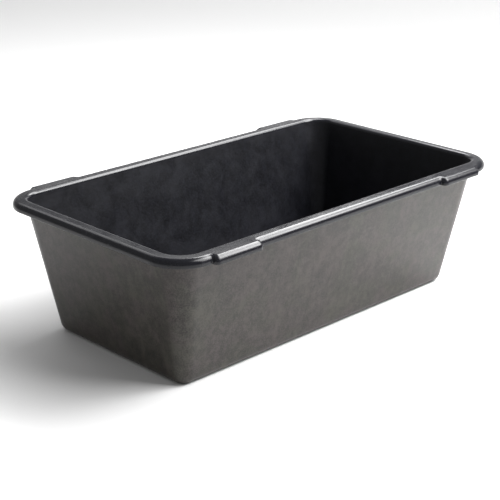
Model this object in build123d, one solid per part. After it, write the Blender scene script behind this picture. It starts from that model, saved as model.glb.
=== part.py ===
from build123d import *

import os

# Rectangular mortar mixing tub, moulded in one piece from black plastic.
# Millimetres. +X runs along the tub, +Z is up, and the origin is the middle of the underside.
# The moulding is cut into its natural regions, which meet face to face: the floor, four walls,
# four wall corners, the rim channel along each side and round each corner, and four grips.

# Driving dimensions
RIM_LENGTH = 760.0          # over the rim, along X
RIM_WIDTH = 442.0           # over the rim, along Y, between the grips
HEIGHT = 233.5              # underside of the floor to the top of the rim
RIM_CORNER_RADIUS = 63.0    # outside of the rim, in plan
BASE_LENGTH = 638.0         # walls carried down to the underside
BASE_WIDTH = 313.0
BASE_CORNER_RADIUS = 20.0
FLOOR_EDGE_RADIUS = 16.0    # outside, where a wall turns into the floor
WALL = 4.5                  # wall and floor thickness

RIM_OVERHANG = 20.0         # outside of the wall, at the top, to the outside of the rim
RIM_DEPTH = 14.5            # height of the turned-down skirt
RIM_FALL = 0.05             # the top of the rim falls outwards by this much per unit of width
FLANGE = 4.0                # thickness of the top of the rim
SKIRT = 3.5                 # thickness of the turned-down skirt
RIM_EDGE_RADIUS = 10.0      # outer top edge
LIP_RADIUS = 6.5            # inner top edge
HEM_RADIUS = 1.2            # lower edge of the skirt
CHANNEL_RADIUS = 2.0        # hollow of the rim, beside the wall
SKIRT_CORNER_RADIUS = 6.0   # hollow of the rim, beside the skirt
WALL_LEAN = 0.19            # outward lean of the wall inside the rim channel, per unit of height

GRIP_LENGTH = 97.0
GRIP_CENTRE = 264.5         # from the middle of the tub, along X
GRIP_STEP = 10.0            # how far a grip stands out beyond the rim
GRIP_CORNER_RADIUS = 8.0    # in plan
GRIP_EDGE_RADIUS = 7.8      # outer top edge of a grip
GRIP_ROOT = 10.0            # how far a grip's raised part runs back into the rim
GRIP_SET_DOWN = 0.03        # top of a grip below the top of the rim, so that the two faces cross cleanly

# Worked out from the driving dimensions
SKIRT_FOOT = HEIGHT - RIM_DEPTH
WALL_TOP_INSET = RIM_OVERHANG + WALL_LEAN * RIM_DEPTH
LIP_INSET = RIM_OVERHANG + WALL
RIM_SIDE_X = RIM_LENGTH / 2 - RIM_CORNER_RADIUS     # centres of the rim's corners
RIM_SIDE_Y = RIM_WIDTH / 2 - RIM_CORNER_RADIUS
FLOOR_X = BASE_LENGTH / 2 - FLOOR_EDGE_RADIUS       # where the flat floor ends
FLOOR_Y = BASE_WIDTH / 2 - FLOOR_EDGE_RADIUS
GRIP_INNER_X = GRIP_CENTRE - GRIP_LENGTH / 2
GRIP_OUTER_X = GRIP_CENTRE + GRIP_LENGTH / 2
BIG = 2 * RIM_LENGTH        # larger than the tub, for cutting blocks

SIDES = {"right": 1, "left": -1}
FACES = {"back": 1, "front": -1}


def plan(length, width, radius, height):
    """A rounded rectangle, level, at the given height."""
    return Pos(0, 0, height) * RectangleRounded(length, width, radius)


def tapered_block(inset, edge_radius):
    """The tub below the rim as a filled block, its sides set in by inset."""
    foot = plan(BASE_LENGTH - 2 * inset, BASE_WIDTH - 2 * inset, BASE_CORNER_RADIUS - inset, 0)
    top_inset = WALL_TOP_INSET + inset
    head = plan(
        RIM_LENGTH - 2 * top_inset, RIM_WIDTH - 2 * top_inset, RIM_CORNER_RADIUS - top_inset, SKIRT_FOOT
    )
    block = loft([foot, head], ruled=True)
    if inset:
        block = split(block, bisect_by=Plane.XY.offset(inset), keep=Keep.TOP)
    lowest = block.edges().group_by(Axis.Z)[0]
    return fillet(lowest, edge_radius)


def cutter(x_range, y_range):
    """A tall block between two X and two Y positions."""
    x_size, y_size = x_range[1] - x_range[0], y_range[1] - y_range[0]
    x_mid, y_mid = sum(x_range) / 2, sum(y_range) / 2
    return Pos(x_mid, y_mid, 0) * Box(x_size, y_size, BIG)


def mirrored(low, high, sign):
    """The range low to high on the positive side, or its mirror image."""
    return (low, high) if sign > 0 else (-high, -low)


def rim_top(outward):
    """Height of the top of the rim at a distance outward from the rim's outside."""
    return HEIGHT - RIM_FALL * (outward + LIP_INSET)


def rim_outline():
    """Points up the outside of the rim and over its top, as (outward, height) pairs."""
    return [
        (0, SKIRT_FOOT),
        (0, rim_top(0)),
        (-LIP_INSET, HEIGHT),
        (-LIP_INSET - WALL_LEAN * RIM_DEPTH, SKIRT_FOOT),
    ]


def channel_outline():
    """Points round the hollow under the rim, from the wall to the skirt."""
    wall_ceiling = rim_top(-RIM_OVERHANG) - FLANGE
    return [
        (-WALL_TOP_INSET, SKIRT_FOOT),
        (-RIM_OVERHANG - WALL_LEAN * (HEIGHT - wall_ceiling), wall_ceiling),
        (-SKIRT, rim_top(-SKIRT) - FLANGE),
        (-SKIRT, SKIRT_FOOT),
    ]


def rounded_polygon(points, radii):
    """A flat outline of straight runs, with a radius for each listed point number."""
    outline = Polygon(*points, align=None)
    for number, radius in radii.items():
        x, y = points[number]
        corner = outline.vertices().sort_by_distance(Vector(x, y, 0))[0]
        outline = fillet(corner, radius)
    return outline


def rim_section():
    """The rim's section: the top of the wall, the flange and the skirt. X is outward, Y is up."""
    outline = rim_outline() + channel_outline()
    last = len(outline) - 1
    radii = {1: RIM_EDGE_RADIUS, 2: LIP_RADIUS, last - 2: CHANNEL_RADIUS, last - 1: SKIRT_CORNER_RADIUS}
    radii |= {0: HEM_RADIUS, last: HEM_RADIUS}
    return rounded_polygon(outline, radii)


def rim_bar(section, length):
    """A section run along X, centred, with its outward side facing +Y and its outside at Y=0."""
    upright = Plane.YZ * section
    return Pos(-length / 2, 0, 0) * extrude(upright, length, dir=(1, 0, 0))


def rim_corner(section):
    """A quarter of the rim round the Z axis, from +X to +Y, with a short run up to the grip."""
    upright = Plane.XZ * (Pos(RIM_CORNER_RADIUS, 0) * section)
    turn = revolve(upright, Axis.Z, 90)
    gap = RIM_SIDE_X - GRIP_OUTER_X
    stub = Pos(-gap / 2, RIM_CORNER_RADIUS, 0) * rim_bar(section, gap)
    return turn + stub


def grip_bump(length, inset, drop):
    """The part of a grip that stands out past the rim, filled, with its sides set in by inset
    and its top let down by drop."""
    outside = GRIP_STEP - inset
    points = [
        (outside, SKIRT_FOOT),
        (outside, rim_top(outside) - drop),
        (-GRIP_ROOT, rim_top(-GRIP_ROOT) - drop),
        (-GRIP_ROOT, SKIRT_FOOT),
    ]
    block = rim_bar(Polygon(*points, align=None), length)
    upright_edges = block.edges().filter_by(Axis.Z).group_by(Axis.Y)[-1]
    block = fillet(upright_edges, GRIP_CORNER_RADIUS - inset)
    top_edges = block.faces().sort_by(Axis.Z)[-1].edges().sort_by(Axis.Y)
    return fillet(top_edges[1:], GRIP_EDGE_RADIUS - inset)


def grip():
    """A wider, hollow stretch of the rim, placed like rim_bar."""
    filled = rounded_polygon(rim_outline(), {1: RIM_EDGE_RADIUS, 2: LIP_RADIUS})
    hollow = rounded_polygon(channel_outline(), {1: CHANNEL_RADIUS, 2: SKIRT_CORNER_RADIUS})
    outside = rim_bar(filled, GRIP_LENGTH) + grip_bump(GRIP_LENGTH, 0, GRIP_SET_DOWN)
    pocket = grip_bump(GRIP_LENGTH - 2 * SKIRT, SKIRT, FLANGE)
    return outside - rim_bar(hollow, GRIP_LENGTH) - pocket


def save(name, shape):
    """Write one node's STEP file."""
    export_step(shape, f"parts/{name}.step")


os.makedirs("parts", exist_ok=True)

inner_radius = FLOOR_EDGE_RADIUS - WALL
shell = tapered_block(0, FLOOR_EDGE_RADIUS) - tapered_block(WALL, inner_radius)
floor_x, floor_y = (-FLOOR_X, FLOOR_X), (-FLOOR_Y, FLOOR_Y)

save("floor_panel", shell & cutter(floor_x, floor_y))

for side, x_sign in SIDES.items():
    outside_x = mirrored(FLOOR_X, BIG, x_sign)
    save(f"{side}_wall", shell & cutter(outside_x, floor_y))
    for face, y_sign in FACES.items():
        outside_y = mirrored(FLOOR_Y, BIG, y_sign)
        save(f"{face}_{side}_wall_corner", shell & cutter(outside_x, outside_y))

for face, y_sign in FACES.items():
    outside_y = mirrored(FLOOR_Y, BIG, y_sign)
    save(f"{face}_wall", shell & cutter(floor_x, outside_y))

section = rim_section()
long_bar = Pos(0, RIM_WIDTH / 2, 0) * rim_bar(section, 2 * GRIP_INNER_X)
save("back_rim", long_bar)
save("front_rim", long_bar.mirror(Plane.XZ))

short_bar = Pos(RIM_LENGTH / 2, 0, 0) * Rot(0, 0, -90) * rim_bar(section, 2 * RIM_SIDE_Y)
save("right_rim", short_bar)
save("left_rim", short_bar.mirror(Plane.YZ))

corner = Pos(RIM_SIDE_X, RIM_SIDE_Y, 0) * rim_corner(section)
handle = Pos(GRIP_CENTRE, RIM_WIDTH / 2, 0) * grip()
for side, x_sign in SIDES.items():
    for face, y_sign in FACES.items():
        for name, shape in (("rim_corner", corner), ("grip", handle)):
            placed = shape if x_sign > 0 else shape.mirror(Plane.YZ)
            placed = placed if y_sign > 0 else placed.mirror(Plane.XZ)
            save(f"{face}_{side}_{name}", placed)
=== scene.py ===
import math

import bpy
from mathutils import Matrix, Vector


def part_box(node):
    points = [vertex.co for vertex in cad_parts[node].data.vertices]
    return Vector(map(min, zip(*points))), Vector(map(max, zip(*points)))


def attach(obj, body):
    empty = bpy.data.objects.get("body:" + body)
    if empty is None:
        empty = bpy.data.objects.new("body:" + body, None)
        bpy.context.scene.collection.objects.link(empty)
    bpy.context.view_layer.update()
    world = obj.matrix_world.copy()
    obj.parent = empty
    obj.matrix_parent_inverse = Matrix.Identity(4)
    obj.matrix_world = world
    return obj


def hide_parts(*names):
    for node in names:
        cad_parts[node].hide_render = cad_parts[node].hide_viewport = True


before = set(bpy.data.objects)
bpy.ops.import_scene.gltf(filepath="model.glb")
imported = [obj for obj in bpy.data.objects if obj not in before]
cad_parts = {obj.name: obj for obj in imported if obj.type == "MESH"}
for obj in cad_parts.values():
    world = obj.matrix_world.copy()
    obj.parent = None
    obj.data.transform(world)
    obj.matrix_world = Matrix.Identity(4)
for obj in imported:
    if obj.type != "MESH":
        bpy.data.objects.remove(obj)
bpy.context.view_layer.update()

bl_info = {
    "name": "Mortar Tub",
    "version": (1, 0, 0),
    "blender": (4, 5, 0),
    "location": "3D View > Sidebar > Mortar Tub",
    "description": "Builds a moulded mortar mixing tub, its plastic and a plain stage",
    "category": "Object",
}

# Signs of X and Y at the tub's corners, anticlockwise from the back right, seen from above
CORNER_SIGNS = ((1, 1), (-1, 1), (-1, -1), (1, -1))
TUB_NODES = ["floor_panel"]
for side in ("front", "back", "left", "right"):
    TUB_NODES += [f"{side}_wall", f"{side}_rim"]
for face in ("front", "back"):
    for side in ("left", "right"):
        TUB_NODES += [f"{face}_{side}_{part}" for part in ("wall_corner", "rim_corner", "grip")]

# Places read from the frame, in metres
RIM_HALF_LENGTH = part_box("right_rim")[1].x
RIM_HALF_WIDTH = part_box("back_rim")[1].y
RIM_CORNER_RADIUS = RIM_HALF_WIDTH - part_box("right_rim")[1].y
SKIRT_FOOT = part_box("back_rim")[0].z
WALL_INSET = RIM_HALF_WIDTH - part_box("back_wall")[1].y
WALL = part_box("floor_panel")[1].z
FLOOR_HALF_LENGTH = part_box("floor_panel")[1].x
FLOOR_HALF_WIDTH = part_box("floor_panel")[1].y
GRIP_NEAR_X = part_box("back_right_grip")[0].x
GRIP_FAR_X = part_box("back_right_grip")[1].x
GRIP_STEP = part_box("back_right_grip")[1].y - RIM_HALF_WIDTH

# Heights of the lines round the walls above the turn from the floor, up to the skirt's foot
WALL_HEIGHTS = (0.045, 0.075, 0.110, 0.145, 0.180, SKIRT_FOOT - 0.006, SKIRT_FOOT)
# Lines round the flat of the floor, as shares of the way out from its middle
FLOOR_SHARES = (0.0, 0.2, 0.4, 0.6, 0.8, 0.93, 0.985)
# Share of the way to a corner's centre where a side's last line lies
SIDE_END = 0.985

# Distances from a rounding to the line beside it, which keeps the flat face's shading flat
FLOOR_TURN_SUPPORT = 0.002
LIP_FOOT_SUPPORT = 0.0012
LIP_TOP_SUPPORT = 0.0005
EDGE_TOP_SUPPORT = 0.0004
EDGE_FOOT_SUPPORT = 0.0006
HEM_SUPPORT = 0.0008
HOLLOW_SUPPORT = 0.0004
GRIP_CORNER_SUPPORT = 0.001

# Share of a grip's corner radius that a line may lie inside its outline before it would fold over
GRIP_INSET_LIMIT = 0.97
MERGE_DISTANCE = 2e-6
FEWEST_FACES = 1000

# Relief of the plastic, in metres from trough to crest
WAVE_HEIGHT = 0.0012
STREAK_HEIGHT = 0.00004
FINE_HEIGHT = 0.00003
GRIT_HEIGHT = 0.00001


def length(name, default, description):
    """A property that holds a distance in metres."""
    return bpy.props.FloatProperty(
        name=name, description=description, default=default, min=0.0, unit="LENGTH", precision=4
    )


def number(name, default, description):
    """A property that holds a plain number."""
    return bpy.props.FloatProperty(name=name, description=description, default=default, min=0.0)


def angle(name, degrees, description):
    """A property that holds an angle."""
    return bpy.props.FloatProperty(
        name=name, description=description, default=math.radians(degrees), unit="ROTATION"
    )


def colour(name, default, description):
    """A property that holds a linear colour."""
    return bpy.props.FloatVectorProperty(
        name=name, description=description, default=default, size=3, subtype="COLOR", min=0.0, max=1.0
    )


def place(name, default, description):
    """A property that holds a point in metres."""
    return bpy.props.FloatVectorProperty(
        name=name, description=description, default=default, size=3, subtype="XYZ", unit="LENGTH"
    )


class TubSizes(bpy.types.PropertyGroup):
    """Sizes of the moulding's section that the frame's boxes don't give."""

    height: length("Height", 0.2335, "Underside to the inner corner of the rim, before it is rounded")
    base_corner: length("Base corner radius", 0.020, "Corner of the walls, in plan, at the underside")
    floor_edge: length("Floor edge radius", 0.016, "Outside radius where a wall turns into the floor")
    flange: length("Flange", 0.004, "Thickness of the top of the rim")
    skirt: length("Skirt", 0.0035, "Thickness of the turned-down edge")
    lip_radius: length("Lip radius", 0.0065, "Inner top edge of the rim")
    edge_radius: length("Edge radius", 0.010, "Outer top edge of the rim")
    hem_radius: length("Hem radius", 0.0012, "Lower edge of the skirt")
    channel_radius: length("Channel radius", 0.002, "Hollow of the rim, beside the wall")
    skirt_corner: length("Skirt corner radius", 0.006, "Hollow of the rim, beside the skirt")
    rim_fall: number("Rim fall", 0.05, "Fall of the top of the rim per unit of width, outwards")
    wall_lean: number("Wall lean", 0.19, "Outward lean of the walls per unit of height")
    grip_corner: length("Grip corner radius", 0.008, "Outer corners of a grip, in plan")
    grip_root: length("Grip root radius", 0.0015, "Inner corners where a grip leaves the rim, in plan")
    turn_steps: bpy.props.IntProperty(
        name="Turn steps", description="Faces round each corner of the tub", default=24, min=4, max=64
    )


class TubFinish(bpy.types.PropertyGroup):
    """Colours and gloss of the plastic. The inside and rim colours carry painted shade, the outside
    colours carry painted light, and the edge wear is partly a painted highlight.
    """

    # Painted shade and painted light: the inside colour and bloom are darkened as painted shade, the rim
    # colour is darkened as painted shade too, and the outside colour, bloom and tint are paled as
    # painted light. The mottling and the tint's greener hue are the plastic's own.
    inside_colour_with_painted_shade: colour("Inside colour", (0.0020, 0.0020, 0.0032), "Black plastic of the inside")
    outside_colour_with_painted_light: colour("Outside colour", (0.010, 0.0075, 0.0062), "Black plastic of the outside")
    rim_colour_with_painted_shade: colour("Rim colour", (0.006, 0.006, 0.009), "Black plastic of the rim and grips")
    inside_bloom_with_painted_shade: colour("Inside bloom", (0.0080, 0.0084, 0.0122), "Pale mottling of the inside")
    outside_bloom_with_painted_light: colour("Outside bloom", (0.056, 0.0462, 0.0425), "Pale mottling of the outside")
    tint_colour_with_painted_light: colour("Tint colour", (0.049, 0.0462, 0.036), "Greener patches in the outside mottling")
    # These two pale the edges: partly wear, partly a painted highlight on the rounded edges and the hem.
    scuff_and_highlight_colour: colour("Scuff colour", (0.10, 0.10, 0.11), "Rubbed edges")
    scuff_and_highlight_share: number("Scuff share", 0.14, "How far rubbed edges go towards the scuff colour")
    rim_clearness: number("Rim clearness", 0.7, "Share of the mottling that the rim doesn't have")
    bump_strength: number("Bump strength", 0.5, "Share of the relief's height that shows")
    inside_roughness: number("Inside roughness", 0.42, "Roughness of the inside")
    outside_roughness: number("Outside roughness", 0.38, "Roughness of the outside")
    rim_roughness: number("Rim roughness", 0.20, "Roughness of the rim and grips")


class TubStage(bpy.types.PropertyGroup):
    """The floor, the lights and the camera."""

    floor_colour: colour("Floor colour", (0.88, 0.88, 0.88), "The floor that the tub stands on")
    azimuth: angle("Azimuth", -44.38, "Camera's bearing round the tub")
    elevation: angle("Elevation", 20.62, "Camera's angle above the floor")
    distance: length("Distance", 2.282, "Camera to the point that it looks at")
    aim: place("Aim", (-0.0149, 0.0072, 0.1013), "Point that the camera looks at")
    lens: bpy.props.FloatProperty(
        name="Lens", description="Focal length", default=95.07, min=1.0, subtype="DISTANCE_CAMERA"
    )
    front_power: number("Front power", 20.0, "Watts of the soft light in front of the right-hand end")
    side_power: number("Side power", 24.0, "Watts of the soft light beside the right-hand end")
    top_power: number("Top power", 660.0, "Watts of the wide light high in front, to the right")
    back_power: number("Back power", 10.0, "Watts of the weak light above the far side")
    sky: number("Sky", 0.29, "Brightness of the white surroundings")


# A level is one closed line round the tub, part of the moulding's section. It holds:
#   place   distance outward from the outside of the wall; height; and taper, which is 0 at the
#           foot of the skirt and above, and 1 at the underside
#   reach   spread, which is 1 and falls to 0 at the middle of the floor; step, which is 1 where
#           the line follows the grips outward; and the distance in from the outside of the rim
#   sink    1 where the line follows the fall of the rim's top outward over a grip
#   edge    1 where hands and tools rub, and where a painted highlight pales the rounded edges and the hem
#   zone    0 on the inside, 1 on the rim, 1.5 in the hollow under it, beside the wall, and 2 outside


def level(out, height, spread=1.0, zone=0.0, edge=0.0):
    """One level that keeps to the walls. Its taper comes from its height."""
    taper = max(0.0, 1.0 - height / SKIRT_FOOT)
    return {
        "place": (out, height, taper),
        "reach": (spread, 0.0, 0.0),
        "sink": 0.0,
        "edge": edge,
        "zone": zone,
    }


def rim_level(inset, height, sink=1.0, edge=0.0):
    """A level of the rim that follows the grips outward."""
    return {
        "place": (WALL_INSET - inset, height, 0.0),
        "reach": (1.0, 1.0, inset),
        "sink": sink,
        "edge": edge,
        "zone": 1.0,
    }


def arc(centre, radius, start, end, steps):
    """Points on an arc in the plane of the section. Angles are in radians from straight outward."""
    points = []
    for i in range(steps + 1):
        turn = start + (end - start) * i / steps
        points.append((centre[0] + radius * math.cos(turn), centre[1] + radius * math.sin(turn)))
    return points


def floor_side_levels(sizes, radius, wall_out, floor_height, zone):
    """One side of the floor, from its middle to where its edge has turned up into the wall."""
    slant = math.atan(sizes.wall_lean)
    middle = floor_height + radius
    centre = (wall_out - radius / math.cos(slant), middle)
    points = arc(centre, radius, -math.pi / 2, -slant, 8)
    turned = [(out + sizes.wall_lean * (middle - height), height) for out, height in points]
    out, height = turned[0]
    levels = [level(out, height, share, zone) for share in FLOOR_SHARES]
    return levels + [level(out, height, 1.0, zone) for out, height in turned]


def rim_top(sizes, outward):
    """Height of the top of the rim at a distance outward from the rim's outside."""
    inner_corner = sizes.wall_lean * (sizes.height - SKIRT_FOOT) - WALL_INSET - WALL
    return sizes.height - sizes.rim_fall * (outward - inner_corner)


def lip_levels(sizes):
    """The inner edge of the rim, from the wall's inside to the rim's top."""
    lean, fall, radius = sizes.wall_lean, sizes.rim_fall, sizes.lip_radius
    lean_angle, fall_angle = math.atan(lean), math.atan(fall)
    reach = radius * math.tan((math.pi / 2 - lean_angle + fall_angle) / 2)
    corner = lean * (sizes.height - SKIRT_FOOT) - WALL
    start = (corner + reach * math.cos(fall_angle), sizes.height - reach * math.sin(fall_angle))
    centre = (start[0] - radius * math.sin(fall_angle), start[1] - radius * math.cos(fall_angle))
    points = arc(centre, radius, math.pi - lean_angle, math.pi / 2 - fall_angle, 8)
    low = points[0][1] - LIP_FOOT_SUPPORT
    levels = [level(lean * (low - SKIRT_FOOT) - WALL, low)]
    levels += [level(out, height, zone=1.0, edge=0.7) for out, height in points]
    return levels + [level(start[0] + LIP_TOP_SUPPORT, start[1] - LIP_TOP_SUPPORT * fall, zone=1.0)]


def skirt_levels(sizes):
    """The outer edge of the rim, its skirt and hem, and back up the skirt's inside."""
    radius, hem = sizes.edge_radius, sizes.hem_radius
    fall_angle = math.atan(sizes.rim_fall)
    centre_height = rim_top(sizes, 0.0) - radius * math.tan((math.pi / 2 - fall_angle) / 2)
    inset = radius - radius * math.sin(fall_angle) + EDGE_TOP_SUPPORT
    levels = [rim_level(inset, rim_top(sizes, -inset))]
    for x, height in arc((-radius, centre_height), radius, math.pi / 2 - fall_angle, 0.0, 10):
        levels.append(rim_level(-x, height, edge=0.6))
    levels.append(rim_level(0.0, centre_height - EDGE_FOOT_SUPPORT))
    hem_height = SKIRT_FOOT + hem
    levels.append(rim_level(0.0, hem_height + HEM_SUPPORT, sink=0.0))
    for x, height in arc((-hem, hem_height), hem, 0.0, -math.pi / 2, 4):
        levels.append(rim_level(-x, height, sink=0.0, edge=1.0))
    for x, height in arc((hem - sizes.skirt, hem_height), hem, -math.pi / 2, -math.pi, 4):
        levels.append(rim_level(-x, height, sink=0.0, edge=0.5))
    return levels


def channel_levels(sizes):
    """The hollow under the rim, from the skirt's inside across to the wall's outside."""
    radius, skirt = sizes.skirt_corner, sizes.skirt
    fall_angle, lean_angle = math.atan(sizes.rim_fall), math.atan(sizes.wall_lean)
    ceiling = rim_top(sizes, -skirt) - sizes.flange
    levels = [rim_level(skirt, ceiling - radius - HOLLOW_SUPPORT)]
    centre = (-skirt - radius, ceiling - radius)
    for x, height in arc(centre, radius, 0.0, math.pi / 2 - fall_angle, 5):
        levels.append(rim_level(-x, height))
    radius = sizes.channel_radius
    ceiling = rim_top(sizes, -WALL_INSET) - sizes.flange
    centre = (sizes.wall_lean * (ceiling - SKIRT_FOOT) + radius, ceiling - radius)
    points = arc(centre, radius, math.pi / 2, math.pi - lean_angle, 5)
    return levels + [level(out, height, zone=1.5) for out, height in points]


def section_levels(sizes):
    """The whole section, from the middle of the underside round to the middle of the floor's inside."""
    walls = [sizes.floor_edge + FLOOR_TURN_SUPPORT, *WALL_HEIGHTS]
    inside = floor_side_levels(sizes, sizes.floor_edge - WALL, -WALL, WALL, 0.0)
    inside += [level(-WALL, height) for height in walls]
    over = lip_levels(sizes) + skirt_levels(sizes) + channel_levels(sizes)
    outside = floor_side_levels(sizes, sizes.floor_edge, 0.0, 0.0, 2.0)
    outside += [level(0.0, height, zone=2.0) for height in walls]
    return outside + over[::-1] + inside[::-1]


# A stop is one place on the way round the tub, anticlockwise from above. It holds:
#   side    the place that the rim's corner radius is drawn from, as shares of a corner centre
#   facing  which way is outward
#   bulge   how far a grip's outline stands out there
#   slant   the outline's own outward direction, less facing


def stop(side, facing, bulge=0.0, outline=None):
    """One stop on the way round the tub."""
    outline = outline or facing
    return {
        "side": (side[0], side[1], 0.0),
        "facing": (facing[0], facing[1], 0.0),
        "bulge": (facing[0] * bulge, facing[1] * bulge, 0.0),
        "slant": (outline[0] - facing[0], outline[1] - facing[1], 0.0),
    }


def corner_stops(sizes, corner):
    """The turn round one corner."""
    stops = []
    for i in range(sizes.turn_steps + 1):
        turn = math.pi / 2 * (corner + i / sizes.turn_steps)
        stops.append(stop(CORNER_SIGNS[corner], (math.cos(turn), math.sin(turn))))
    return stops


def grip_outline(sizes):
    """Outline of a grip, as (along from its middle, outward, and the outline's own direction)."""
    half, root, corner = (GRIP_FAR_X - GRIP_NEAR_X) / 2, sizes.grip_root, sizes.grip_corner
    points = []
    root_steps, corner_steps = 5, 10
    for i in range(root_steps + 1):
        turn = math.pi / 2 * i / root_steps
        along, out = -math.sin(turn), math.cos(turn)
        points.append((-half - root - root * along, root - root * out, along, out))
    for i in range(corner_steps + 1):
        turn = math.pi / 2 * i / corner_steps
        along, out = -math.cos(turn), math.sin(turn)
        points.append((corner - half + corner * along, GRIP_STEP - corner + corner * out, along, out))
    straight = corner + GRIP_CORNER_SUPPORT - half
    points += [(straight * share, GRIP_STEP, 0.0, 1.0) for share in (1.0, 0.7, 0.35)]
    mirrored = [(-along, out, -outline_along, outline_out)
                for along, out, outline_along, outline_out in reversed(points)]
    return points + [(0.0, GRIP_STEP, 0.0, 1.0)] + mirrored


def side_shares(steps):
    """Places along a side, from -1 to 1 about its middle, without its two ends."""
    return [-SIDE_END] + [i / steps for i in range(1 - steps, steps)] + [SIDE_END]


def long_side_stops(sizes, facing_y):
    """Between the corners of the back (facing_y 1) or the front (-1), with its two grips."""
    centre = RIM_HALF_LENGTH - RIM_CORNER_RADIUS
    ahead = -facing_y
    middle = (GRIP_NEAR_X + GRIP_FAR_X) / 2
    inner = GRIP_NEAR_X - sizes.grip_root
    stops = []
    for grip_x in (-ahead * middle, ahead * middle):
        for along, out, outline_along, outline_out in grip_outline(sizes):
            side = ((grip_x + ahead * along) / centre, facing_y)
            outline = (ahead * outline_along, facing_y * outline_out)
            stops.append(stop(side, (0.0, facing_y), out, outline))
        if grip_x * ahead < 0:
            for share in side_shares(8):
                stops.append(stop((ahead * inner * share / centre, facing_y), (0.0, facing_y)))
    return stops


def short_side_stops(facing_x):
    """Between the corners of the right-hand end (facing_x 1) or the left (-1)."""
    return [stop((facing_x, facing_x * share), (facing_x, 0.0)) for share in side_shares(7)]


def round_stops(sizes):
    """Every stop on the way round."""
    stops = corner_stops(sizes, 0) + long_side_stops(sizes, 1)
    stops += corner_stops(sizes, 1) + short_side_stops(-1)
    stops += corner_stops(sizes, 2) + long_side_stops(sizes, -1)
    return stops + corner_stops(sizes, 3) + short_side_stops(1)


def record_mesh(name, records):
    """A mesh with one loose point per record, each value held as an attribute."""
    mesh = bpy.data.meshes.new(name)
    mesh.from_pydata([(0.0, 0.0, 0.0)] * len(records), [], [])
    for key, first in records[0].items():
        if isinstance(first, tuple):
            attribute = mesh.attributes.new(key, "FLOAT_VECTOR", "POINT")
            for item, record in zip(attribute.data, records):
                item.vector = record[key]
        else:
            attribute = mesh.attributes.new(key, "FLOAT", "POINT")
            for item, record in zip(attribute.data, records):
                item.value = record[key]
    return mesh


def put(tree, socket, value):
    """Links an output to a socket, or sets the socket to a plain value."""
    if isinstance(value, bpy.types.NodeSocket):
        tree.links.new(value, socket)
    else:
        socket.default_value = value


def add(tree, kind, **inputs):
    """A node, with its inputs given by name. Underscores stand for spaces."""
    node = tree.nodes.new(kind)
    for name, value in inputs.items():
        put(tree, node.inputs[name.replace("_", " ")], value)
    return node


def maths(tree, operation, *values):
    """The result of a Math node."""
    node = tree.nodes.new("ShaderNodeMath")
    node.operation = operation
    for socket, value in zip(node.inputs, values):
        put(tree, socket, value)
    return node.outputs[0]


def vector_maths(tree, operation, *values):
    """The result of a Vector Math node. SCALE takes its number second."""
    node = tree.nodes.new("ShaderNodeVectorMath")
    node.operation = operation
    sockets = [node.inputs[0], node.inputs["Scale"]] if operation == "SCALE" else node.inputs
    for socket, value in zip(sockets, values):
        put(tree, socket, value)
    return node.outputs["Value"] if operation == "DOT_PRODUCT" else node.outputs["Vector"]


def blend_vectors(tree, share, first, second):
    """first where share is 0, second where it is 1."""
    step = vector_maths(tree, "SCALE", vector_maths(tree, "SUBTRACT", second, first), share)
    return vector_maths(tree, "ADD", first, step)


def sample(tree, geometry, key, kind, index):
    """The value of an attribute at one point of a geometry."""
    source = tree.nodes.new("GeometryNodeInputNamedAttribute")
    source.data_type = kind
    source.inputs["Name"].default_value = key
    node = tree.nodes.new("GeometryNodeSampleIndex")
    node.data_type = kind
    put(tree, node.inputs["Geometry"], geometry)
    put(tree, node.inputs["Value"], source.outputs["Attribute"])
    put(tree, node.inputs["Index"], index)
    return node.outputs["Value"]


TREE_SIZES = (
    "Rim Half Length", "Rim Half Width", "Rim Corner Radius", "Wall Inset",
    "Base Half Length", "Base Half Width", "Base Corner Radius", "Rim Fall", "Grip Corner Radius",
)


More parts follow.
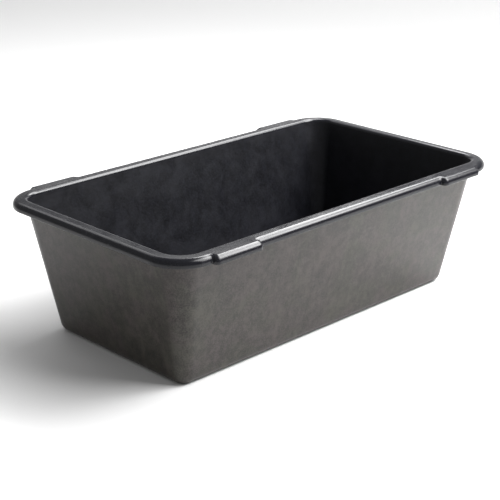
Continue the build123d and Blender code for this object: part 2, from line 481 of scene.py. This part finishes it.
def moulding_tree():
    """The node tree that draws the moulding's skin through every stop at every level."""
    tree = bpy.data.node_groups.new("Moulding", "GeometryNodeTree")
    face = tree.interface
    face.new_socket(name="Stops", in_out="INPUT", socket_type="NodeSocketGeometry")
    face.new_socket(name="Section", in_out="INPUT", socket_type="NodeSocketObject")
    for name in TREE_SIZES:
        face.new_socket(name=name, in_out="INPUT", socket_type="NodeSocketFloat")
    face.new_socket(name="Plastic", in_out="INPUT", socket_type="NodeSocketMaterial")
    face.new_socket(name="Moulding", in_out="OUTPUT", socket_type="NodeSocketGeometry")
    given = tree.nodes.new("NodeGroupInput").outputs
    section = add(tree, "GeometryNodeObjectInfo", Object=given["Section"]).outputs["Geometry"]
    stops = given["Stops"]

    def count(geometry):
        """How many points a geometry has."""
        return add(tree, "GeometryNodeAttributeDomainSize", Geometry=geometry).outputs["Point Count"]

    stop_count, level_count = count(stops), count(section)
    grid = add(
        tree, "GeometryNodeMeshGrid", Size_X=1.0, Size_Y=1.0,
        Vertices_X=maths(tree, "ADD", stop_count, 1.0), Vertices_Y=level_count,
    )
    index = tree.nodes.new("GeometryNodeInputIndex").outputs["Index"]
    column = maths(tree, "FLOOR", maths(tree, "DIVIDE", maths(tree, "ADD", index, 0.5), level_count))
    row = maths(tree, "SUBTRACT", index, maths(tree, "MULTIPLY", column, level_count))
    column = maths(tree, "MODULO", column, stop_count)

    side = sample(tree, stops, "side", "FLOAT_VECTOR", column)
    facing = sample(tree, stops, "facing", "FLOAT_VECTOR", column)
    bulge = sample(tree, stops, "bulge", "FLOAT_VECTOR", column)
    slant = sample(tree, stops, "slant", "FLOAT_VECTOR", column)
    place_value = sample(tree, section, "place", "FLOAT_VECTOR", row)
    reach_value = sample(tree, section, "reach", "FLOAT_VECTOR", row)
    out, height, taper = add(tree, "ShaderNodeSeparateXYZ", Vector=place_value).outputs
    spread, step, inset = add(tree, "ShaderNodeSeparateXYZ", Vector=reach_value).outputs

    def less(first, second):
        """The difference of two given sizes."""
        return maths(tree, "SUBTRACT", given[first], given[second])

    def corner_centre(name):
        """The centre of a corner's radius, at the rim or at the base."""
        x = less(f"{name} Half Length", f"{name} Corner Radius")
        y = less(f"{name} Half Width", f"{name} Corner Radius")
        return add(tree, "ShaderNodeCombineXYZ", X=x, Y=y).outputs[0]

    rim_centre, base_centre = corner_centre("Rim"), corner_centre("Base")
    centre = vector_maths(tree, "MULTIPLY", side, blend_vectors(tree, taper, rim_centre, base_centre))
    rim_radius = less("Rim Corner Radius", "Wall Inset")
    growth = maths(tree, "SUBTRACT", given["Base Corner Radius"], rim_radius)
    radius = maths(tree, "ADD", rim_radius, maths(tree, "MULTIPLY", growth, taper))
    wall = vector_maths(tree, "SCALE", facing, maths(tree, "ADD", radius, out))
    limit = maths(tree, "MULTIPLY", given["Grip Corner Radius"], GRIP_INSET_LIMIT)
    inset = maths(tree, "MINIMUM", inset, limit)
    grip_out = vector_maths(tree, "SCALE", bulge, step)
    grip = vector_maths(tree, "SUBTRACT", grip_out, vector_maths(tree, "SCALE", slant, inset))
    plan = vector_maths(tree, "ADD", vector_maths(tree, "ADD", centre, wall), grip)
    plan = vector_maths(tree, "SCALE", plan, spread)
    drop = maths(tree, "MULTIPLY", vector_maths(tree, "DOT_PRODUCT", grip, facing), given["Rim Fall"])
    drop = maths(tree, "MULTIPLY", drop, sample(tree, section, "sink", "FLOAT", row))
    flat = add(tree, "ShaderNodeSeparateXYZ", Vector=plan).outputs
    lowered = maths(tree, "SUBTRACT", height, drop)
    position = add(tree, "ShaderNodeCombineXYZ", X=flat[0], Y=flat[1], Z=lowered)

    skin = grid.outputs["Mesh"]
    for key in ("edge", "zone"):
        kept = tree.nodes.new("GeometryNodeStoreNamedAttribute")
        kept.data_type = "FLOAT"
        kept.domain = "POINT"
        put(tree, kept.inputs["Geometry"], skin)
        put(tree, kept.inputs["Name"], key)
        put(tree, kept.inputs["Value"], sample(tree, section, key, "FLOAT", row))
        skin = kept.outputs["Geometry"]
    placed = add(tree, "GeometryNodeSetPosition", Geometry=skin, Position=position.outputs[0])
    merged = add(
        tree, "GeometryNodeMergeByDistance", Geometry=placed.outputs["Geometry"], Distance=MERGE_DISTANCE
    )
    smooth = add(tree, "GeometryNodeSetShadeSmooth", Geometry=merged.outputs["Geometry"])
    real = add(tree, "GeometryNodeRealizeInstances", Geometry=smooth.outputs["Geometry"])
    painted = add(
        tree, "GeometryNodeSetMaterial", Geometry=real.outputs["Geometry"], Material=given["Plastic"]
    )
    result = tree.nodes.new("NodeGroupOutput")
    put(tree, result.inputs["Moulding"], painted.outputs["Geometry"])
    return tree


def noise(tree, where, scale, detail=3.0, roughness=0.5, distortion=0.0):
    """A noise between 0 and 1."""
    node = add(
        tree, "ShaderNodeTexNoise", Vector=where, Scale=scale, Detail=detail, Roughness=roughness,
        Distortion=distortion,
    )
    return node.outputs[0]


def ramp(tree, value, low, high, to_low=0.0, to_high=1.0):
    """value carried smoothly from the range low to high onto to_low to to_high."""
    node = tree.nodes.new("ShaderNodeMapRange")
    node.interpolation_type = "SMOOTHSTEP"
    for name, given in (("Value", value), ("From Min", low), ("From Max", high),
                        ("To Min", to_low), ("To Max", to_high)):
        put(tree, node.inputs[name], given)
    return node.outputs["Result"]


def blend_colours(tree, share, first, second):
    """first where share is 0, second where it is 1."""
    node = tree.nodes.new("ShaderNodeMix")
    node.data_type = "RGBA"
    put(tree, node.inputs[0], share)
    for socket, value in ((node.inputs[6], first), (node.inputs[7], second)):
        put(tree, socket, value if isinstance(value, bpy.types.NodeSocket) else (*value, 1.0))
    return node.outputs[2]


def stretched(tree, where, scale):
    """Object coordinates multiplied by a scale along each axis."""
    return vector_maths(tree, "MULTIPLY", where, scale)


def attribute(tree, name):
    """The value of one of the moulding's own attributes."""
    node = tree.nodes.new("ShaderNodeAttribute")
    node.attribute_name = name
    return node.outputs["Fac"]


def plastic_material(finish):
    """Black plastic: mottled, with flow marks up the walls, glossier along the rim, and paler along its
    edges from wear and from a painted highlight. Its inside is darkened as painted shade, its rim as
    painted shade too, and its outside paled as painted light.
    """
    material = bpy.data.materials.new("Black plastic")
    material.use_nodes = True
    tree = material.node_tree
    shader = tree.nodes["Principled BSDF"]
    where = tree.nodes.new("ShaderNodeTexCoord").outputs["Object"]
    zone = attribute(tree, "zone")
    outside = ramp(tree, zone, 1.2, 1.8)
    rim = maths(tree, "SUBTRACT", ramp(tree, zone, 0.2, 0.8), outside)

    cloud = noise(tree, where, 22.0, 5.0, 0.6, 0.5)
    streak = noise(tree, stretched(tree, where, (75.0, 75.0, 18.0)), 1.0, 5.0, 0.65, 0.6)
    blotch = noise(tree, where, 75.0, 4.0, 0.6, 0.3)
    fine = noise(tree, where, 420.0, 4.0, 0.65)
    grit = noise(tree, where, 1500.0, 2.0, 0.6)

    bloom = ramp(tree, cloud, 0.38, 0.72, 0.0, 0.4)
    bloom = maths(tree, "ADD", bloom, ramp(tree, streak, 0.38, 0.75, 0.0, 0.3))
    bloom = maths(tree, "ADD", bloom, ramp(tree, blotch, 0.40, 0.66, 0.0, 0.35))
    bloom = maths(tree, "ADD", bloom, ramp(tree, fine, 0.40, 0.64, 0.0, 0.55))
    clear = maths(tree, "SUBTRACT", 1.0, maths(tree, "MULTIPLY", rim, finish.rim_clearness))
    bloom = maths(tree, "MULTIPLY", bloom, clear)
    # The inside, rim and outside are one plastic in three copies: the darkness of the inside and of the
    # rim is painted shade, and the paler colour and mottling of the outside are painted light.
    base = blend_colours(tree, rim, finish.inside_colour_with_painted_shade, finish.rim_colour_with_painted_shade)
    base = blend_colours(tree, outside, base, finish.outside_colour_with_painted_light)
    tint = ramp(tree, noise(tree, where, 14.0, 3.0, 0.5, 0.8), 0.42, 0.62)
    tinted = blend_colours(tree, tint, finish.outside_bloom_with_painted_light, finish.tint_colour_with_painted_light)
    pale = blend_colours(tree, outside, finish.inside_bloom_with_painted_shade, tinted)
    base = blend_colours(tree, bloom, base, pale)
    # Paler patches along the edges: partly wear where hands and tools rub, partly a painted highlight on
    # the roundings and the hem.
    patchy = ramp(tree, noise(tree, where, 70.0, 6.0, 0.7), 0.52, 0.72)
    rubbed_and_highlit = maths(tree, "MULTIPLY", attribute(tree, "edge"), patchy)
    scuff_and_highlight = maths(tree, "MULTIPLY", rubbed_and_highlit, finish.scuff_and_highlight_share)
    put(tree, shader.inputs["Base Color"], blend_colours(tree, scuff_and_highlight, base, finish.scuff_and_highlight_colour))

    rim_step = finish.rim_roughness - finish.inside_roughness
    outside_step = finish.outside_roughness - finish.inside_roughness
    rough = maths(tree, "MULTIPLY_ADD", rim, rim_step, finish.inside_roughness)
    rough = maths(tree, "MULTIPLY_ADD", outside, outside_step, rough)
    rough = maths(tree, "ADD", rough, ramp(tree, cloud, 0.3, 0.7, -0.04, 0.05))
    rough = maths(tree, "ADD", rough, ramp(tree, fine, 0.3, 0.7, -0.03, 0.04))
    rough = maths(tree, "ADD", rough, maths(tree, "MULTIPLY", scuff_and_highlight, 0.3))
    put(tree, shader.inputs["Roughness"], rough)
    shader.inputs["IOR"].default_value = 1.5
    shader.inputs["Specular IOR Level"].default_value = 0.4

    waves = noise(tree, stretched(tree, where, (6.0, 6.0, 3.0)), 1.0, 2.0, 0.5)
    relief = maths(tree, "MULTIPLY", waves, WAVE_HEIGHT)
    relief = maths(tree, "MULTIPLY_ADD", streak, STREAK_HEIGHT, relief)
    relief = maths(tree, "MULTIPLY_ADD", fine, FINE_HEIGHT, relief)
    relief = maths(tree, "MULTIPLY_ADD", grit, GRIT_HEIGHT, relief)
    bump = add(tree, "ShaderNodeBump", Height=relief, Strength=finish.bump_strength, Distance=1.0)
    put(tree, shader.inputs["Normal"], bump.outputs["Normal"])
    return material


def build_tub(sizes, finish):
    """The tub as one plain mesh that stands for the whole moulding."""
    tub = bpy.data.objects.new("tub_moulding", record_mesh("stops", round_stops(sizes)))
    section = bpy.data.objects.new("section", record_mesh("section", section_levels(sizes)))
    for item in (tub, section):
        bpy.context.scene.collection.objects.link(item)
    modifier = tub.modifiers.new("Moulding", "NODES")
    modifier.node_group = moulding_tree()
    values = {
        "Section": section,
        "Plastic": plastic_material(finish),
        "Rim Half Length": RIM_HALF_LENGTH,
        "Rim Half Width": RIM_HALF_WIDTH,
        "Rim Corner Radius": RIM_CORNER_RADIUS,
        "Wall Inset": WALL_INSET,
        "Base Half Length": FLOOR_HALF_LENGTH + sizes.floor_edge,
        "Base Half Width": FLOOR_HALF_WIDTH + sizes.floor_edge,
        "Base Corner Radius": sizes.base_corner,
        "Rim Fall": sizes.rim_fall,
        "Grip Corner Radius": sizes.grip_corner,
    }
    for item in modifier.node_group.interface.items_tree:
        if item.name in values:
            modifier[item.identifier] = values[item.name]
    bpy.context.view_layer.update()
    evaluated = tub.evaluated_get(bpy.context.evaluated_depsgraph_get())
    finished = bpy.data.meshes.new_from_object(evaluated)
    tub.modifiers.clear()
    tub.data = finished
    finished.name = "tub_moulding"
    bpy.data.objects.remove(section)
    if len(finished.polygons) < FEWEST_FACES:
        raise RuntimeError("the moulding's skin wasn't drawn")
    return tub


def stage_floor(colour, azimuth):
    """A pale floor, turned to the camera, that curves up into a wall far behind the tub."""
    half, near, far, rise, radius, steps = 12.0, -14.0, 5.0, 1.5, 1.4, 12
    profile = [(near, 0.0), (far - radius, 0.0)]
    for i in range(1, steps + 1):
        turn = math.pi / 2 * i / steps
        profile.append((far - radius + radius * math.sin(turn), radius - radius * math.cos(turn)))
    profile.append((far, rise))
    turned = Matrix.Rotation(azimuth, 3, "Z")
    points = [turned @ Vector((x, y, z)) for y, z in profile for x in (-half, half)]
    faces = [(2 * i, 2 * i + 1, 2 * i + 3, 2 * i + 2) for i in range(len(profile) - 1)]
    mesh = bpy.data.meshes.new("floor")
    mesh.from_pydata(points, [], faces)
    for face in mesh.polygons:
        face.use_smooth = True
    material = bpy.data.materials.new("Pale floor")
    material.use_nodes = True
    shader = material.node_tree.nodes["Principled BSDF"]
    shader.inputs["Base Color"].default_value = (*colour, 1.0)
    shader.inputs["Roughness"].default_value = 0.75
    mesh.materials.append(material)
    floor = bpy.data.objects.new("floor", mesh)
    bpy.context.scene.collection.objects.link(floor)
    return floor


def area_light(name, power, width, depth, spot, target):
    """A soft rectangular light at a spot, turned to a target."""
    data = bpy.data.lights.new(name, "AREA")
    data.shape = "RECTANGLE"
    data.size = width
    data.size_y = depth
    data.energy = power
    light = bpy.data.objects.new(name, data)
    light.location = spot
    light.rotation_euler = (Vector(target) - Vector(spot)).to_track_quat("-Z", "Y").to_euler()
    bpy.context.scene.collection.objects.link(light)
    return light


def stage_lights(stage):
    """The four soft lights, all turned to the middle of the tub."""
    middle = (0.0, 0.0, 0.12)
    return [
        area_light("side front", stage.front_power, 0.8, 0.8, (0.72, -0.55, 1.20), middle),
        area_light("side back", stage.side_power, 0.8, 0.8, (0.84, 0.25, 1.20), middle),
        area_light("top", stage.top_power, 5.2, 5.2, (3.3, -3.7, 5.6), middle),
        area_light("back", stage.back_power, 2.4, 0.8, (0.75, 1.62, 1.75), middle),
    ]


def stage_surroundings(brightness):
    """Plain white surroundings."""
    world = bpy.data.worlds.new("surroundings")
    world.use_nodes = True
    sky = world.node_tree.nodes["Background"]
    sky.inputs["Color"].default_value = (1.0, 1.0, 1.0, 1.0)
    sky.inputs["Strength"].default_value = brightness
    return world


def stage_camera(stage):
    """The camera, placed by its bearing, angle and distance from the point that it looks at."""
    data = bpy.data.cameras.new("camera")
    data.sensor_width = 36.0
    data.lens = stage.lens
    data.clip_start = 0.05
    data.clip_end = 40.0
    camera = bpy.data.objects.new("camera", data)
    flat = math.cos(stage.elevation)
    x, y = math.sin(stage.azimuth) * flat, -math.cos(stage.azimuth) * flat
    back = Vector((x, y, math.sin(stage.elevation)))
    camera.location = Vector(stage.aim) + back * stage.distance
    camera.rotation_euler = back.to_track_quat("Z", "Y").to_euler()
    bpy.context.scene.collection.objects.link(camera)
    return camera


class TUB_OT_build(bpy.types.Operator):
    """Builds the tub's moulding over the CAD nodes"""

    bl_idname = "tub.build"
    bl_label = "Build Tub"

    def execute(self, context):
        """Draws the moulding and ties it to the frame."""
        tub = build_tub(context.scene.tub_sizes, context.scene.tub_finish)
        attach(tub, "root")
        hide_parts(*TUB_NODES)
        return {"FINISHED"}


class TUB_OT_stage(bpy.types.Operator):
    """Builds the floor, lights and camera"""

    bl_idname = "tub.stage"
    bl_label = "Build Stage"

    def execute(self, context):
        """Places the floor, the lights, the surroundings and the camera."""
        stage = context.scene.tub_stage
        floor = stage_floor(stage.floor_colour, stage.azimuth)
        lights = stage_lights(stage)
        context.scene.world = stage_surroundings(stage.sky)
        context.scene.view_settings.view_transform = "Standard"
        context.scene.camera = stage_camera(stage)
        return {"FINISHED"}


class TUB_PT_panel(bpy.types.Panel):
    """Sidebar panel with the tub's controls"""

    bl_label = "Mortar Tub"
    bl_idname = "TUB_PT_panel"
    bl_space_type = "VIEW_3D"
    bl_region_type = "UI"
    bl_category = "Mortar Tub"

    def draw(self, context):
        """Lists every property, with a button under the finish group and under the stage group."""
        groups = (("tub_sizes", None), ("tub_finish", "tub.build"), ("tub_stage", "tub.stage"))
        for name, button in groups:
            box = self.layout.box()
            group = getattr(context.scene, name)
            for key in group.__annotations__:
                box.prop(group, key)
            if button:
                box.operator(button)


CLASSES = (TubSizes, TubFinish, TubStage, TUB_OT_build, TUB_OT_stage, TUB_PT_panel)


def register():
    """Registers the classes and their properties."""
    for item in CLASSES:
        bpy.utils.register_class(item)
    bpy.types.Scene.tub_sizes = bpy.props.PointerProperty(type=TubSizes)
    bpy.types.Scene.tub_finish = bpy.props.PointerProperty(type=TubFinish)
    bpy.types.Scene.tub_stage = bpy.props.PointerProperty(type=TubStage)


def unregister():
    """Takes the properties and classes away again."""
    del bpy.types.Scene.tub_stage
    del bpy.types.Scene.tub_finish
    del bpy.types.Scene.tub_sizes
    for item in reversed(CLASSES):
        bpy.utils.unregister_class(item)


def main():
    """Builds everything."""
    register()
    bpy.ops.tub.build()
    bpy.ops.tub.stage()


if __name__ == "__main__":
    main()
